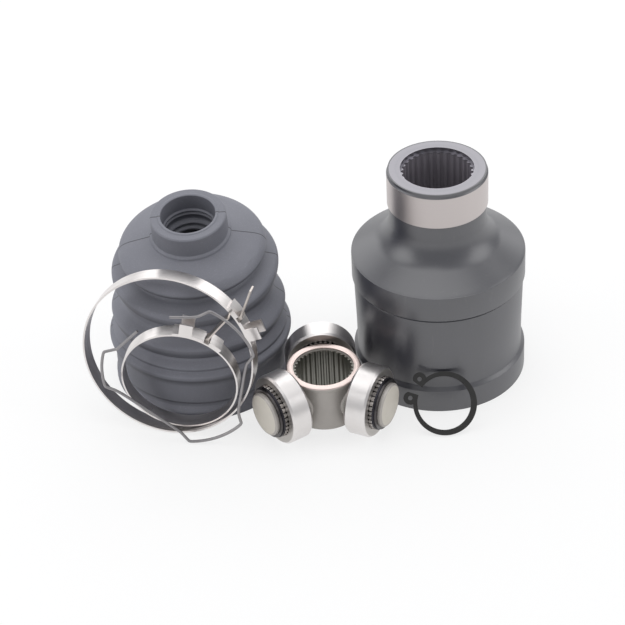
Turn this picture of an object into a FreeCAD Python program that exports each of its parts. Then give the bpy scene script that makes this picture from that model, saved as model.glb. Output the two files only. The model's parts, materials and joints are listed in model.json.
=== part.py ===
import FreeCAD, Part
import math
import os

from FreeCAD import Placement, Rotation, Vector

# Inner (plunging) tripod CV joint, laid out as a kit on a bench: the outer housing stands
# on its mouth, with the tripod and its three rollers, the bellows boot, both lever clamps,
# the wire ring of the housing's mouth and the shaft's circlip around it.
# Millimetres. +Z is up. The origin is the centre of the housing's mouth, on the bench.
# +X runs from the boot towards the housing, and +Y away from the clamps.

UP = Vector(0, 0, 1)
ORIGIN = Vector(0, 0, 0)
EDGE_BREAK = 0.6
RUN_CLEARANCE = 0.03
LOOSE_GAP = 0.3

# Outer housing
BODY_RADIUS = 40.0
BODY_HEIGHT = 108.2
FLANGE_HEIGHT = 11.3
SEAT_DEPTH = 1.7
SHOULDER_BOTTOM = 51.3
SHOULDER_TOP = 64.1
NECK_RADIUS = 22.3
CONE_ANGLE = 31.0
NECK_FILLET = 8.5
SEAL_RADIUS = 23.0
SEAL_BOTTOM = 90.8
SEAL_TOP = 106.3
SEAT_RADIUS = BODY_RADIUS - SEAT_DEPTH

# Roller tracks inside the housing
TRACK_COUNT = 3
TRACK_CLEARANCE = 0.15
TRACK_FLOOR = 56.0
HUB_CLEARANCE = 2.4
WALL_THICKNESS = 3.7
MOUTH_DEPTH = 6.0
GROOVE_HEIGHT = 2.2
GROOVE_WIDTH = 1.8
GROOVE_DEPTH = 2.4

# Female spline in the neck, for the gearbox stub shaft
NECK_SPLINE_TEETH = 30
NECK_SPLINE_TIP = 15.35
NECK_SPLINE_ROOT = 16.4
NECK_LEAD_RADIUS = 16.8
NECK_LEAD_DEPTH = 2.2
PLUG_RADIUS = 17.0
PLUG_POCKET_DEPTH = 5.0
PLUG_THICKNESS = 1.5

# Tripod: spider, rollers, needles and their retainers
TRIPOD_X = -55.4
TRIPOD_Y = -39.0
TRIPOD_TURN = 92.3
HUB_RADIUS = 16.6
HUB_HEIGHT = 24.6
HUB_SPLINE_TEETH = 33
HUB_SPLINE_TIP = 12.7
HUB_SPLINE_ROOT = 13.5
HUB_LEAD_RADIUS = 14.0
HUB_LEAD_DEPTH = 1.2
TRUNNION_RADIUS = 10.3
TRUNNION_REACH = 33.2
NEEDLE_DIAMETER = 2.14
NEEDLE_COUNT = 32
NEEDLE_FLATS = 6
NEEDLE_START = 17.7
NEEDLE_END = 29.4
ROLLER_RADIUS = 16.6
ROLLER_WIDTH = 10.4
ROLLER_STARTS = (18.9, 17.3, 17.3)
ROLLER_CROWN = 0.7
ROLLER_TAPER = 1.0
WASHER_THICKNESS = 0.9
SNAP_RING_THICKNESS = 1.1
SNAP_GROOVE_DEPTH = 0.8
SNAP_RING_RADIUS = 11.7
ROLLER_BORE = TRUNNION_RADIUS + NEEDLE_DIAMETER + 2 * RUN_CLEARANCE
ROLLER_MIDDLE = ROLLER_STARTS[1] + ROLLER_WIDTH / 2

# Boot: heights run along its centre line, which bends a little between two of the folds
BOOT_X = -111.9
BOOT_Y = 2.6
BOOT_HEIGHT = 92.4
BOOT_END_RADIUS = 41.0
BOOT_LAND_RADIUS = 39.7
BOOT_NECK_RADIUS = 17.4
BOOT_NECK_BORE = 12.5
BOOT_NECK_HEIGHT = 12.0
BOOT_WALL = 2.1
BEND_HEIGHT = 54.0
BEND_OVERLAP = 3.5
BEND_TILT = 8.46
BEND_HEADING = 255.6
FOLD_RADII = (42.6, 40.5, 38.8, 34.3)
VALLEY_RADII = (38.4, 35.2, 29.6)

# Lever clamps
BAND_THICKNESS = 0.8
LARGE_CLAMP_RADIUS = 40.1
LARGE_CLAMP_WIDTH = 8.2
LARGE_CLAMP_X = -124.6
LARGE_CLAMP_Y = -37.4
LARGE_CLAMP_LEAN = 8.0
LARGE_CLAMP_TURN = -15.0
LARGE_TABS_AT = 22.0
LARGE_PIVOT_AT = 34.0
LARGE_LEVER_LENGTH = 15.0
LARGE_LEVER_HEADING = 71.0
SMALL_CLAMP_RADIUS = 27.0
SMALL_CLAMP_WIDTH = 7.0
SMALL_CLAMP_X = -120.3
SMALL_CLAMP_Y = -42.9
SMALL_CLAMP_LEAN = -2.0
SMALL_CLAMP_TURN = -11.0
SMALL_TABS_AT = 80.0
SMALL_PIVOT_AT = 59.0
SMALL_LEVER_LENGTH = 17.0
SMALL_LEVER_HEADING = 52.0
LEVER_THICKNESS = 0.8
LEVER_BARREL = 1.0
TAB_HEIGHT = 6.0
TAB_LENGTH = 6.0

# Wire ring of the housing's mouth
WIRE_DIAMETER = 1.4
WIRE_X = -119.7
WIRE_Y = -50.8
WIRE_LEAN = 4.2
WIRE_TURN = -9.5
WIRE_LOBES = ((44, 46), (-65, 44), (-182, 30))
WIRE_BEND_SWEEP = 7.0
WIRE_INNER_RADIUS = 31.0
WIRE_END_RADIUS = 29.2
WIRE_END_SWEEP = 49.0
WIRE_LOBE_RADIUS = SEAT_RADIUS - WALL_THICKNESS + GROOVE_DEPTH - WIRE_DIAMETER / 2 - RUN_CLEARANCE

# Circlip of the drive shaft
CLIP_BORE_RADIUS = 12.25
CLIP_RIM_RADIUS = 14.6
CLIP_OFFSET = 0.45
CLIP_THICKNESS = 1.2
CLIP_X = -1.2
CLIP_Y = -48.4
CLIP_LEAN = 41.0
CLIP_GAP_ANGLE = 151.0
CLIP_LUG_SPREAD = 18.0
CLIP_LUG_RADIUS = 3.1


def polar(radius, angle, height=0):
    """Point at a radius and an angle in degrees."""
    turn = math.radians(angle)
    return Vector(radius * math.cos(turn), radius * math.sin(turn), height)


def turned(outline):
    """Solid turned about Z from a closed outline of (radius, height) corners."""
    corners = [Vector(radius, 0, height) for radius, height in outline]
    face = Part.Face(Part.makePolygon(corners + corners[:1]))
    return face.revolve(ORIGIN, UP, 360)


def disc(radius, bottom, top):
    """Upright cylinder between two heights."""
    return Part.makeCylinder(radius, top - bottom, Vector(0, 0, bottom))


def ring(outer, inner, bottom, top):
    """Upright ring between two heights."""
    return disc(outer, bottom, top).cut(disc(inner, bottom, top))


def cone(low_radius, high_radius, bottom, top):
    """Upright frustum between two heights."""
    return Part.makeCone(low_radius, high_radius, top - bottom, Vector(0, 0, bottom))


def prism(corners, bottom, top):
    """Upright prism on a closed run of corners."""
    base = [Vector(corner.x, corner.y, bottom) for corner in corners]
    face = Part.Face(Part.makePolygon(base + base[:1]))
    return face.extrude(Vector(0, 0, top - bottom))


def spline_bore(teeth, tip, root, bottom, top):
    """Space inside a female spline: straight-sided teeth point inwards to the tip radius."""
    step = 360 / teeth
    corners = []
    for tooth in range(teeth):
        start = tooth * step
        corners.append(polar(tip, start - 0.14 * step))
        corners.append(polar(tip, start + 0.14 * step))
        corners.append(polar(root, start + 0.34 * step))
        corners.append(polar(root, start + 0.66 * step))
    return prism(corners, bottom, top)


def save(shape, name):
    """Write one node."""
    shape.exportStep("parts/" + name + ".step")


def housing_outside():
    """Turned outside of the housing, from the mouth up to the neck's ground seal land."""
    slope = math.tan(math.radians(CONE_ANGLE))
    corner_height = SHOULDER_TOP + (BODY_RADIUS - NECK_RADIUS) * slope
    half_turn = math.radians(45 - CONE_ANGLE / 2)
    reach = NECK_FILLET * math.tan(half_turn)
    chord = NECK_FILLET * (1 - math.cos(half_turn))
    face_radius = SEAL_RADIUS - EDGE_BREAK
    return turned([
        (0, 0), (BODY_RADIUS, 0), (BODY_RADIUS, FLANGE_HEIGHT),
        (SEAT_RADIUS, FLANGE_HEIGHT + SEAT_DEPTH), (SEAT_RADIUS, SHOULDER_BOTTOM - EDGE_BREAK),
        (BODY_RADIUS, SHOULDER_BOTTOM + EDGE_BREAK), (BODY_RADIUS, SHOULDER_TOP),
        (NECK_RADIUS + reach, corner_height - reach * slope),
        (NECK_RADIUS + chord, corner_height + reach / 3),
        (NECK_RADIUS, corner_height + reach), (NECK_RADIUS, SEAL_BOTTOM),
        (SEAL_RADIUS, SEAL_BOTTOM), (SEAL_RADIUS, SEAL_TOP), (face_radius, SEAL_TOP + EDGE_BREAK),
        (face_radius, BODY_HEIGHT), (0, BODY_HEIGHT)])


def roller_tracks():
    """Tulip-shaped cavity: room for the hub, and three round tracks for the rollers."""
    wall = disc(SEAT_RADIUS - WALL_THICKNESS, 0, TRACK_FLOOR)
    cavity = disc(HUB_RADIUS + HUB_CLEARANCE, 0, TRACK_FLOOR)
    for track in range(TRACK_COUNT):
        middle = polar(ROLLER_MIDDLE, 90 + track * 360 / TRACK_COUNT)
        lane = Part.makeCylinder(ROLLER_RADIUS + TRACK_CLEARANCE, TRACK_FLOOR, middle)
        cavity = cavity.fuse(lane)
    return cavity.common(wall)


def outer_housing():
    """Housing with its roller tracks, wire-ring groove, plug pocket and splined neck."""
    wall = SEAT_RADIUS - WALL_THICKNESS
    groove_radius = wall + GROOVE_DEPTH
    pocket_top = TRACK_FLOOR + PLUG_POCKET_DEPTH
    lead_start = BODY_HEIGHT - NECK_LEAD_DEPTH
    body = housing_outside()
    body = body.cut(roller_tracks())
    body = body.cut(disc(wall, 0, MOUTH_DEPTH))
    body = body.cut(disc(groove_radius, GROOVE_HEIGHT, GROOVE_HEIGHT + GROOVE_WIDTH))
    body = body.cut(disc(PLUG_RADIUS, TRACK_FLOOR, pocket_top))
    bore = spline_bore(NECK_SPLINE_TEETH, NECK_SPLINE_TIP, NECK_SPLINE_ROOT, pocket_top, lead_start)
    body = body.cut(bore)
    return body.cut(disc(NECK_LEAD_RADIUS, lead_start, BODY_HEIGHT))


def core_plug():
    """Dished sheet plug that closes the cavity towards the splined neck."""
    bottom = TRACK_FLOOR + 1
    inner = PLUG_RADIUS - PLUG_THICKNESS
    return turned([(0, bottom), (PLUG_RADIUS, bottom), (PLUG_RADIUS, bottom + 3 * PLUG_THICKNESS / 2),
                   (inner, bottom + 3 * PLUG_THICKNESS / 2), (inner, bottom + PLUG_THICKNESS),
                   (0, bottom + PLUG_THICKNESS)])


def tripod_place(arm):
    """Placement that lays Z along one trunnion, measured from the hub's centre."""
    along = polar(1, TRIPOD_TURN + arm * 360 / TRACK_COUNT)
    across = UP.cross(along)
    centre = Vector(TRIPOD_X, TRIPOD_Y, ROLLER_RADIUS)
    return Placement(centre, Rotation(UP, across, along, "ZYX"))


def on_trunnion(shape, arm):
    """Copy of a shape made about Z, set on one trunnion."""
    copy = shape.copy()
    copy.Placement = tripod_place(arm)
    return copy


def trunnion():
    """One arm of the spider, with its snap-ring groove and broken end."""
    groove = NEEDLE_END + RUN_CLEARANCE + WASHER_THICKNESS
    bottom_radius = TRUNNION_RADIUS - SNAP_GROOVE_DEPTH
    arm = disc(TRUNNION_RADIUS, 0, TRUNNION_REACH - EDGE_BREAK)
    arm = arm.fuse(cone(TRUNNION_RADIUS, TRUNNION_RADIUS - EDGE_BREAK,
                        TRUNNION_REACH - EDGE_BREAK, TRUNNION_REACH))
    return arm.cut(ring(TRUNNION_RADIUS + 1, bottom_radius, groove, groove + SNAP_RING_THICKNESS))


def tripod_spider():
    """Splined hub with three trunnions."""
    half = HUB_HEIGHT / 2
    hub = turned([(0, -half), (HUB_RADIUS - 1.2, -half), (HUB_RADIUS, 1.2 - half),
                  (HUB_RADIUS, half - 1.2), (HUB_RADIUS - 1.2, half), (0, half)])
    hub.Placement = Placement(Vector(TRIPOD_X, TRIPOD_Y, ROLLER_RADIUS), Rotation(UP, TRIPOD_TURN))
    spider = hub.multiFuse([on_trunnion(trunnion(), arm) for arm in range(TRACK_COUNT)])
    bore = spline_bore(HUB_SPLINE_TEETH, HUB_SPLINE_TIP, HUB_SPLINE_ROOT, -half, half)
    bore = bore.fuse([disc(HUB_LEAD_RADIUS, half - HUB_LEAD_DEPTH, half),
                      disc(HUB_LEAD_RADIUS, -half, HUB_LEAD_DEPTH - half)])
    bore.Placement = hub.Placement
    return spider.cut(bore)


def roller(start):
    """Outer ring of one needle roller, with a crown that lets it tilt in its track."""
    end = start + ROLLER_WIDTH
    rim = ROLLER_RADIUS - ROLLER_CROWN
    return turned([(ROLLER_BORE, start), (rim, start), (ROLLER_RADIUS, start + ROLLER_TAPER),
                   (ROLLER_RADIUS, end - ROLLER_TAPER), (rim, end), (ROLLER_BORE, end)])


def needle_set():
    """Full row of needles round one trunnion, each cut as a bar with flats."""
    pitch_radius = TRUNNION_RADIUS + RUN_CLEARANCE + NEEDLE_DIAMETER / 2
    flats = [polar(NEEDLE_DIAMETER / 2, flat * 360 / NEEDLE_FLATS) for flat in range(NEEDLE_FLATS)]
    needle = prism(flats, NEEDLE_START, NEEDLE_END)
    needles = []
    for index in range(NEEDLE_COUNT):
        bar = needle.copy()
        bar.translate(Vector(pitch_radius, 0, 0))
        bar.rotate(ORIGIN, UP, index * 360 / NEEDLE_COUNT)
        needles.append(bar)
    return Part.makeCompound(needles)


def retainer_washer():
    """Flat washer that holds the needles and the roller on the trunnion."""
    bottom = NEEDLE_END + RUN_CLEARANCE
    return ring(ROLLER_BORE - 0.3, TRUNNION_RADIUS, bottom, bottom + WASHER_THICKNESS)


def snap_ring():
    """Open ring in the trunnion's groove, in front of the washer."""
    bottom = NEEDLE_END + RUN_CLEARANCE + WASHER_THICKNESS
    bore = TRUNNION_RADIUS - SNAP_GROOVE_DEPTH
    gap = Part.makeBox(4, 3, 4, Vector(bore - 1, -1.5, bottom - 1))
    return ring(SNAP_RING_RADIUS, bore, bottom, bottom + SNAP_RING_THICKNESS).cut(gap)


def neck_side():
    """Placement of the boot's upper folds and neck, tipped over at the bend."""
    hinge = UP.cross(polar(1, BEND_HEADING))
    bend = Vector(BOOT_X, BOOT_Y, BEND_HEIGHT)
    return Placement(bend, Rotation(hinge, BEND_TILT)).multiply(Placement(UP * -BEND_HEIGHT, Rotation()))


def boot_shape(below, above):
    """Solid of two (radius, height) outlines whose centre lines meet at the bend."""
    low = turned([(0, below[0][1])] + below + [(0, below[-1][1])])
    low.translate(Vector(BOOT_X, BOOT_Y, 0))
    high = turned([(0, above[0][1])] + above + [(0, above[-1][1])])
    high.Placement = neck_side()
    return low.fuse(high)


def boot():
    """Bellows boot with four folds, a clamp land at its wide end and a tilted neck."""
    fold_4, fold_3, fold_2, fold_1 = FOLD_RADII
    valley_4, valley_3, valley_2 = VALLEY_RADII
    neck_base = BOOT_HEIGHT - BOOT_NECK_HEIGHT
    overlap_low = BEND_HEIGHT - BEND_OVERLAP
    overlap_high = BEND_HEIGHT + BEND_OVERLAP
    outside = boot_shape(
        [(BOOT_END_RADIUS, 0), (BOOT_END_RADIUS, 5.2), (BOOT_LAND_RADIUS, 6.4),
         (BOOT_LAND_RADIUS, 20.5), (fold_4, 24.4), (fold_4, 26.4), (valley_4, 34.0),
         (fold_3, 38.6), (fold_3, 40.8), (valley_3, 46.0), (valley_3, overlap_high)],
        [(valley_3, overlap_low), (valley_3, 50.5), (fold_2, 60.0), (fold_2, 62.6),
         (valley_2, 66.4), (valley_2, 68.4), (fold_1, 72.2), (fold_1, 74.0),
         (BOOT_NECK_RADIUS, neck_base), (BOOT_NECK_RADIUS, BOOT_HEIGHT)])
    inside = boot_shape(
        [(SEAT_RADIUS, 0), (SEAT_RADIUS, 22.0), (valley_4 - BOOT_WALL, 32.0),
         (valley_3 - BOOT_WALL, 46.0), (valley_3 - BOOT_WALL, overlap_high)],
        [(valley_3 - BOOT_WALL, overlap_low), (valley_3 - BOOT_WALL, 52.0),
         (fold_2 - BOOT_WALL, 61.5), (valley_2 - BOOT_WALL, 67.4), (fold_1 - 2 * BOOT_WALL, 72.4),
         (BOOT_NECK_BORE, neck_base - BOOT_WALL - 1.2), (BOOT_NECK_BORE, BOOT_HEIGHT)])
    return outside.cut(inside)


def rest_height(radius, width, lean):
    """Height of the centre of a leaning ring that stands on its rim."""
    tilt = math.radians(lean)
    return radius * math.cos(tilt) + width / 2 * abs(math.sin(tilt))


def standing(x, y, height, lean, turn):
    """Placement of a ring that leans back and faces the front.

    In the ring's own frame Z is its axis, X points right and Y up its plane.
    """
    tilt = math.radians(lean)
    swing = math.radians(turn)
    right = Vector(math.cos(swing), math.sin(swing), 0)
    axis = Vector(math.sin(swing) * math.cos(tilt), -math.cos(swing) * math.cos(tilt), math.sin(tilt))
    return Placement(Vector(x, y, height), Rotation(right, axis.cross(right), axis, "ZXY"))


def large_clamp_place():
    """Large clamp on the bench, leaning back towards the boot."""
    height = rest_height(LARGE_CLAMP_RADIUS, LARGE_CLAMP_WIDTH, LARGE_CLAMP_LEAN)
    return standing(LARGE_CLAMP_X, LARGE_CLAMP_Y, height, LARGE_CLAMP_LEAN, LARGE_CLAMP_TURN)


def small_clamp_place():
    """Small clamp, standing in the large clamp's hoop and off its lowest point."""
    tilt = math.radians(LARGE_CLAMP_LEAN)
    swing = math.radians(LARGE_CLAMP_TURN)
    play = LARGE_CLAMP_RADIUS - BAND_THICKNESS - SMALL_CLAMP_RADIUS
    aside = ((SMALL_CLAMP_X - LARGE_CLAMP_X) * math.cos(swing)
             + (SMALL_CLAMP_Y - LARGE_CLAMP_Y) * math.sin(swing))
    drop = math.sqrt(play * play - aside * aside)
    height = (rest_height(LARGE_CLAMP_RADIUS, LARGE_CLAMP_WIDTH, LARGE_CLAMP_LEAN)
              - drop * math.cos(tilt) + LARGE_CLAMP_WIDTH / 2 * math.sin(tilt) + LOOSE_GAP)
    return standing(SMALL_CLAMP_X, SMALL_CLAMP_Y, height, SMALL_CLAMP_LEAN, SMALL_CLAMP_TURN)


def arc_between(inner, outer, one, other, width):
    """Plate bent round Z between two angles, centred on its width."""
    low = Vector(0, 0, -width / 2)
    sector = Part.makeCylinder(outer, width, low, UP, abs(other - one))
    sector.rotate(ORIGIN, UP, min(one, other))
    return sector.cut(Part.makeCylinder(inner, width, low))


def clamp_band(radius, width, tabs_at, pivot_at):
    """Band with its doubled buckle stretch, the lever's seat and two keeper tabs."""
    inner = radius - BAND_THICKNESS
    top = radius + BAND_THICKNESS
    band = arc_between(inner, radius, 0, 360, width)
    tab_sweep = math.degrees(TAB_LENGTH / radius)
    barrel_sweep = math.degrees((LEVER_BARREL + 0.3) / radius)
    toward = math.copysign(1, tabs_at - pivot_at)
    saddle = arc_between(radius, top, pivot_at + toward * barrel_sweep,
                         tabs_at + toward * tab_sweep, width)
    step = arc_between(radius, top + BAND_THICKNESS, pivot_at - toward * barrel_sweep,
                       pivot_at - toward * (barrel_sweep + tab_sweep), width)
    pieces = [saddle, step]
    for side in (-1, 1):
        edge = (width / 2 - BAND_THICKNESS / 2) * side
        tab = Part.makeBox(TAB_HEIGHT, TAB_LENGTH, BAND_THICKNESS,
                           Vector(radius + BAND_THICKNESS / 2, -TAB_LENGTH / 2, edge - BAND_THICKNESS / 2))
        tab.rotate(ORIGIN, UP, tabs_at)
        pieces.append(tab)
    return band.multiFuse(pieces)


def clamp_lever(radius, width, pivot_at, length, heading):
    """Lever that pulls the band tight: a rolled barrel and a flat handle."""
    pivot = polar(radius + LEVER_BARREL + RUN_CLEARANCE, pivot_at)
    span = width - 2 * BAND_THICKNESS - 1.4
    barrel = Part.makeCylinder(LEVER_BARREL, span, pivot - UP * span / 2)
    handle = Part.makeBox(length, LEVER_THICKNESS, span, Vector(0, -LEVER_THICKNESS / 2, -span / 2))
    handle.rotate(ORIGIN, UP, heading)
    handle.translate(pivot)
    return barrel.fuse(handle)


def wire_ring():
    """Wire ring with three lobes for the mouth's groove, and inward runs that stop the rollers."""
    first_end = WIRE_LOBES[0][0] + WIRE_END_SWEEP
    last_end = WIRE_LOBES[-1][0] - WIRE_END_SWEEP
    corners = [polar(WIRE_END_RADIUS, first_end)]
    edges = []
    for middle, sweep in WIRE_LOBES:
        start, end = middle + sweep / 2, middle - sweep / 2
        entry = polar(WIRE_INNER_RADIUS, start + WIRE_BEND_SWEEP)
        top = polar(WIRE_LOBE_RADIUS, start)
        foot = polar(WIRE_LOBE_RADIUS, end)
        edges.append(Part.makeLine(corners[-1], entry))
        edges.append(Part.makeLine(entry, top))
        edges.append(Part.Arc(top, polar(WIRE_LOBE_RADIUS, middle), foot).toShape())
        corners.append(polar(WIRE_INNER_RADIUS, end - WIRE_BEND_SWEEP))
        edges.append(Part.makeLine(foot, corners[-1]))
    edges.append(Part.makeLine(corners[-1], polar(WIRE_END_RADIUS, last_end)))
    path = Part.Wire(edges)
    section = [polar(WIRE_DIAMETER / 2, 22.5 + side * 45) for side in range(8)]
    loop = Part.makePolygon(section + section[:1])
    loop.Placement = Placement(edges[0].valueAt(0), Rotation(UP, edges[0].tangentAt(0)))
    return path.makePipeShell([loop], True, False, 1)


def circlip():
    """External circlip: a tapering ring with two lugs beside its gap."""
    low = Vector(0, 0, -CLIP_THICKNESS / 2)
    rim_centre = polar(CLIP_OFFSET, CLIP_GAP_ANGLE + 180, low.z)
    clip = Part.makeCylinder(CLIP_RIM_RADIUS, CLIP_THICKNESS, rim_centre)
    lug_circle = CLIP_RIM_RADIUS + CLIP_LUG_RADIUS / 3
    gap = Part.makeCylinder(CLIP_RIM_RADIUS + 2 * CLIP_LUG_RADIUS, CLIP_THICKNESS, low, UP, CLIP_LUG_SPREAD)
    gap.rotate(ORIGIN, UP, CLIP_GAP_ANGLE - CLIP_LUG_SPREAD / 2)
    lugs = []
    holes = []
    for side in (-1, 1):
        centre = polar(lug_circle, CLIP_GAP_ANGLE + side * CLIP_LUG_SPREAD, low.z)
        lugs.append(Part.makeCylinder(CLIP_LUG_RADIUS, CLIP_THICKNESS, centre))
        holes.append(Part.makeCylinder(CLIP_LUG_RADIUS / 3, CLIP_THICKNESS, centre))
    clip = clip.multiFuse(lugs).cut(Part.makeCylinder(CLIP_BORE_RADIUS, CLIP_THICKNESS, low))
    return clip.cut(gap).cut(Part.makeCompound(holes))


def main():
    os.makedirs("parts", exist_ok=True)
    save(outer_housing(), "outer_housing")
    save(core_plug(), "core_plug")
    save(tripod_spider(), "tripod_spider")
    for arm in range(TRACK_COUNT):
        label = str(arm + 1)
        save(on_trunnion(roller(ROLLER_STARTS[arm]), arm), "roller_" + label)
        save(on_trunnion(needle_set(), arm), "needle_set_" + label)
        save(on_trunnion(retainer_washer(), arm), "retainer_washer_" + label)
        save(on_trunnion(snap_ring(), arm), "trunnion_snap_ring_" + label)
    save(boot(), "boot")

    large = large_clamp_place()
    small = small_clamp_place()
    large_band = clamp_band(LARGE_CLAMP_RADIUS, LARGE_CLAMP_WIDTH, LARGE_TABS_AT, LARGE_PIVOT_AT)
    large_lever = clamp_lever(LARGE_CLAMP_RADIUS, LARGE_CLAMP_WIDTH, LARGE_PIVOT_AT,
                              LARGE_LEVER_LENGTH, LARGE_LEVER_HEADING)
    small_band = clamp_band(SMALL_CLAMP_RADIUS, SMALL_CLAMP_WIDTH, SMALL_TABS_AT, SMALL_PIVOT_AT)
    small_lever = clamp_lever(SMALL_CLAMP_RADIUS, SMALL_CLAMP_WIDTH, SMALL_PIVOT_AT,
                              SMALL_LEVER_LENGTH, SMALL_LEVER_HEADING)
    for shape, place, name in (
            (large_band, large, "large_clamp_band"),
            (large_lever, large, "large_clamp_lever"),
            (small_band, small, "small_clamp_band"),
            (small_lever, small, "small_clamp_lever")):
        shape.Placement = place
        save(shape, name)

    loop = wire_ring()
    loop_height = rest_height(WIRE_LOBE_RADIUS + WIRE_DIAMETER / 2, WIRE_DIAMETER, WIRE_LEAN)
    loop.Placement = standing(WIRE_X, WIRE_Y, loop_height, WIRE_LEAN, WIRE_TURN)
    save(loop, "mouth_wire_ring")
    clip = circlip()
    clip_height = rest_height(CLIP_RIM_RADIUS + CLIP_OFFSET / 2, CLIP_THICKNESS, CLIP_LEAN)
    clip.Placement = standing(CLIP_X, CLIP_Y, clip_height, CLIP_LEAN, 0)
    save(clip, "shaft_circlip")


main()
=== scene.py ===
# %% [markdown]
# # Dressing a tripod joint kit
#
# The solid model gives every piece its place and size. Here the steel pieces get their
# finishes, and the soft boot and the wire are modelled again with the rounds and ribs that
# moulding and bending give them.

# %% Load the solid model
import json
import math

import bmesh
import bpy
from mathutils import Matrix, Vector


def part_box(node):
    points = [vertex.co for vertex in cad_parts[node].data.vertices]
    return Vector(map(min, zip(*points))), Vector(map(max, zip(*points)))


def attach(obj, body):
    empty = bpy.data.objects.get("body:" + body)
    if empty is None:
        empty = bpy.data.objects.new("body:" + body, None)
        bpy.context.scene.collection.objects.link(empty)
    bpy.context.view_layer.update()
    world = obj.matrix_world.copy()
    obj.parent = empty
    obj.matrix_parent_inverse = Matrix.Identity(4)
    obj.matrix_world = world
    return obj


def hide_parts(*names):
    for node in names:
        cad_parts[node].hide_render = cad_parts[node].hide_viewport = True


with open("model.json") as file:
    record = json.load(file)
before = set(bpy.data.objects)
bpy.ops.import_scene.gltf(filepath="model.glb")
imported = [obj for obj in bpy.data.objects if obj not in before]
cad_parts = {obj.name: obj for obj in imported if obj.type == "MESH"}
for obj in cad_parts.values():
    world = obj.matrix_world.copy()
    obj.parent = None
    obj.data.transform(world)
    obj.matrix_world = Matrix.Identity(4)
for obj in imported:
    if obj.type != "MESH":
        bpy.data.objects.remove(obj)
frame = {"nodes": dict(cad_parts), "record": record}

MM = 0.001
nodes = frame["nodes"]
mounts = {mount["name"]: mount for mount in frame["record"]["mounts"]}
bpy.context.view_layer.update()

# %% [markdown]
# ## Small helpers for modelling by hand
#
# Modelling in Blender is mostly this: select something, then run one operator on it.
# An operator works on everything that is selected, so each step starts from nothing selected.
# These helpers pick vertices, edges or faces by their place, which is what a hand on the
# mouse would do by eye.

# %% Selecting by place
KINDS = {"VERT": "verts", "EDGE": "edges", "FACE": "faces"}


def deselect_all():
    if bpy.context.mode != "OBJECT":
        bpy.ops.object.mode_set(mode="OBJECT")
    bpy.ops.object.select_all(action="DESELECT")


def start_editing(piece):
    deselect_all()
    bpy.context.view_layer.objects.active = piece
    piece.select_set(True)
    bpy.ops.object.mode_set(mode="EDIT")
    bpy.ops.mesh.select_all(action="DESELECT")


def pick(kind, test):
    """Selects the vertices, edges or faces whose corners all pass the test, and counts them."""
    bpy.ops.mesh.select_mode(type=kind)
    bpy.ops.mesh.select_all(action="DESELECT")
    mesh = bmesh.from_edit_mesh(bpy.context.edit_object.data)
    found = 0
    for part in getattr(mesh, KINDS[kind]):
        corners = [part] if kind == "VERT" else part.verts
        if all(test(corner.co) for corner in corners):
            part.select_set(True)
            found += 1
    mesh.select_flush_mode()
    bmesh.update_edit_mesh(bpy.context.edit_object.data)
    return found


def finish_piece(piece, body, smooth_angle=35):
    """Puts the piece's place into its mesh, shades it and lets it ride on its body."""
    deselect_all()
    bpy.context.view_layer.objects.active = piece
    piece.select_set(True)
    bpy.ops.object.transform_apply(location=True, rotation=True, scale=True)
    bpy.ops.object.shade_smooth_by_angle(angle=math.radians(smooth_angle))
    for modifier in list(piece.modifiers):
        bpy.ops.object.modifier_apply(modifier=modifier.name)
    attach(piece, body)
    print(piece.name, "has", len(piece.data.polygons), "faces")
    return piece


deselect_all()
print("nothing is selected now:", not bpy.context.selected_objects)

# %% [markdown]
# ## Turned shapes
#
# Most of this kit is round: it was turned on a lathe or moulded in a round tool.
# A turned shape starts as one circle. Each extrude draws the next ring from it, and a resize
# gives that ring its own radius, so the list of rings reads like the drawing of the part.
# The corners between rings are then bevelled, each by its own reach, because a moulded fold
# is soft and a lathe's corner is crisp.

# %% Drawing a turned shape ring by ring
TURN_STEPS = 144


def turned_shape(name, centre, rings):
    """Draws a closed shape from (radius, height, round) rings in millimetres round a centre."""
    deselect_all()
    first_radius, first_height = rings[0][:2]
    bpy.ops.mesh.primitive_circle_add(vertices=TURN_STEPS, radius=first_radius * MM,
                                      location=(centre[0], centre[1], first_height * MM))
    piece = bpy.context.object
    piece.name = name
    bpy.ops.object.transform_apply(location=True)
    bpy.ops.object.mode_set(mode="EDIT")
    bpy.ops.mesh.select_all(action="SELECT")
    for one, following in zip(rings, rings[1:] + rings[:1]):
        rise = (following[1] - one[1]) * MM
        growth = following[0] / one[0]
        bpy.ops.mesh.extrude_region_move(TRANSFORM_OT_translate={"value": (0, 0, rise)})
        bpy.ops.transform.resize(value=(growth, growth, 1),
                                 center_override=(centre[0], centre[1], following[1] * MM))
    bpy.ops.mesh.select_all(action="SELECT")
    bpy.ops.mesh.remove_doubles(threshold=0.001 * MM)
    bpy.ops.mesh.normals_make_consistent(inside=False)
    return piece


def round_rings(centre, rings, segments=4):
    """Bevels each ring of the shape being edited by its own reach, a wide round in more steps."""
    for radius, height, reach in rings:
        if not reach:
            continue

        def on_ring(place, radius=radius, height=height):
            out = math.hypot(place.x - centre[0], place.y - centre[1])
            return abs(out - radius * MM) < 0.02 * MM and abs(place.z - height * MM) < 0.02 * MM

        if pick("EDGE", on_ring):
            bpy.ops.mesh.bevel(offset=reach * MM, offset_type="OFFSET", profile=0.5,
                               segments=segments + int(reach), affect="EDGES",
                               clamp_overlap=True)


print("turned shapes use", TURN_STEPS, "steps round")

# %% [markdown]
# ## The boot
#
# The boot is a moulded rubber bellows. Its wide end is clamped to the housing and its neck to
# the shaft, and between them it folds like a concertina. It was laid down a little bent, so the
# upper folds lean towards us. It could be sculpted, but a bellows is a lathe shape first: the
# folds are drawn straight, rounded, and only then bent in small steps, as the rubber bends.

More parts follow.
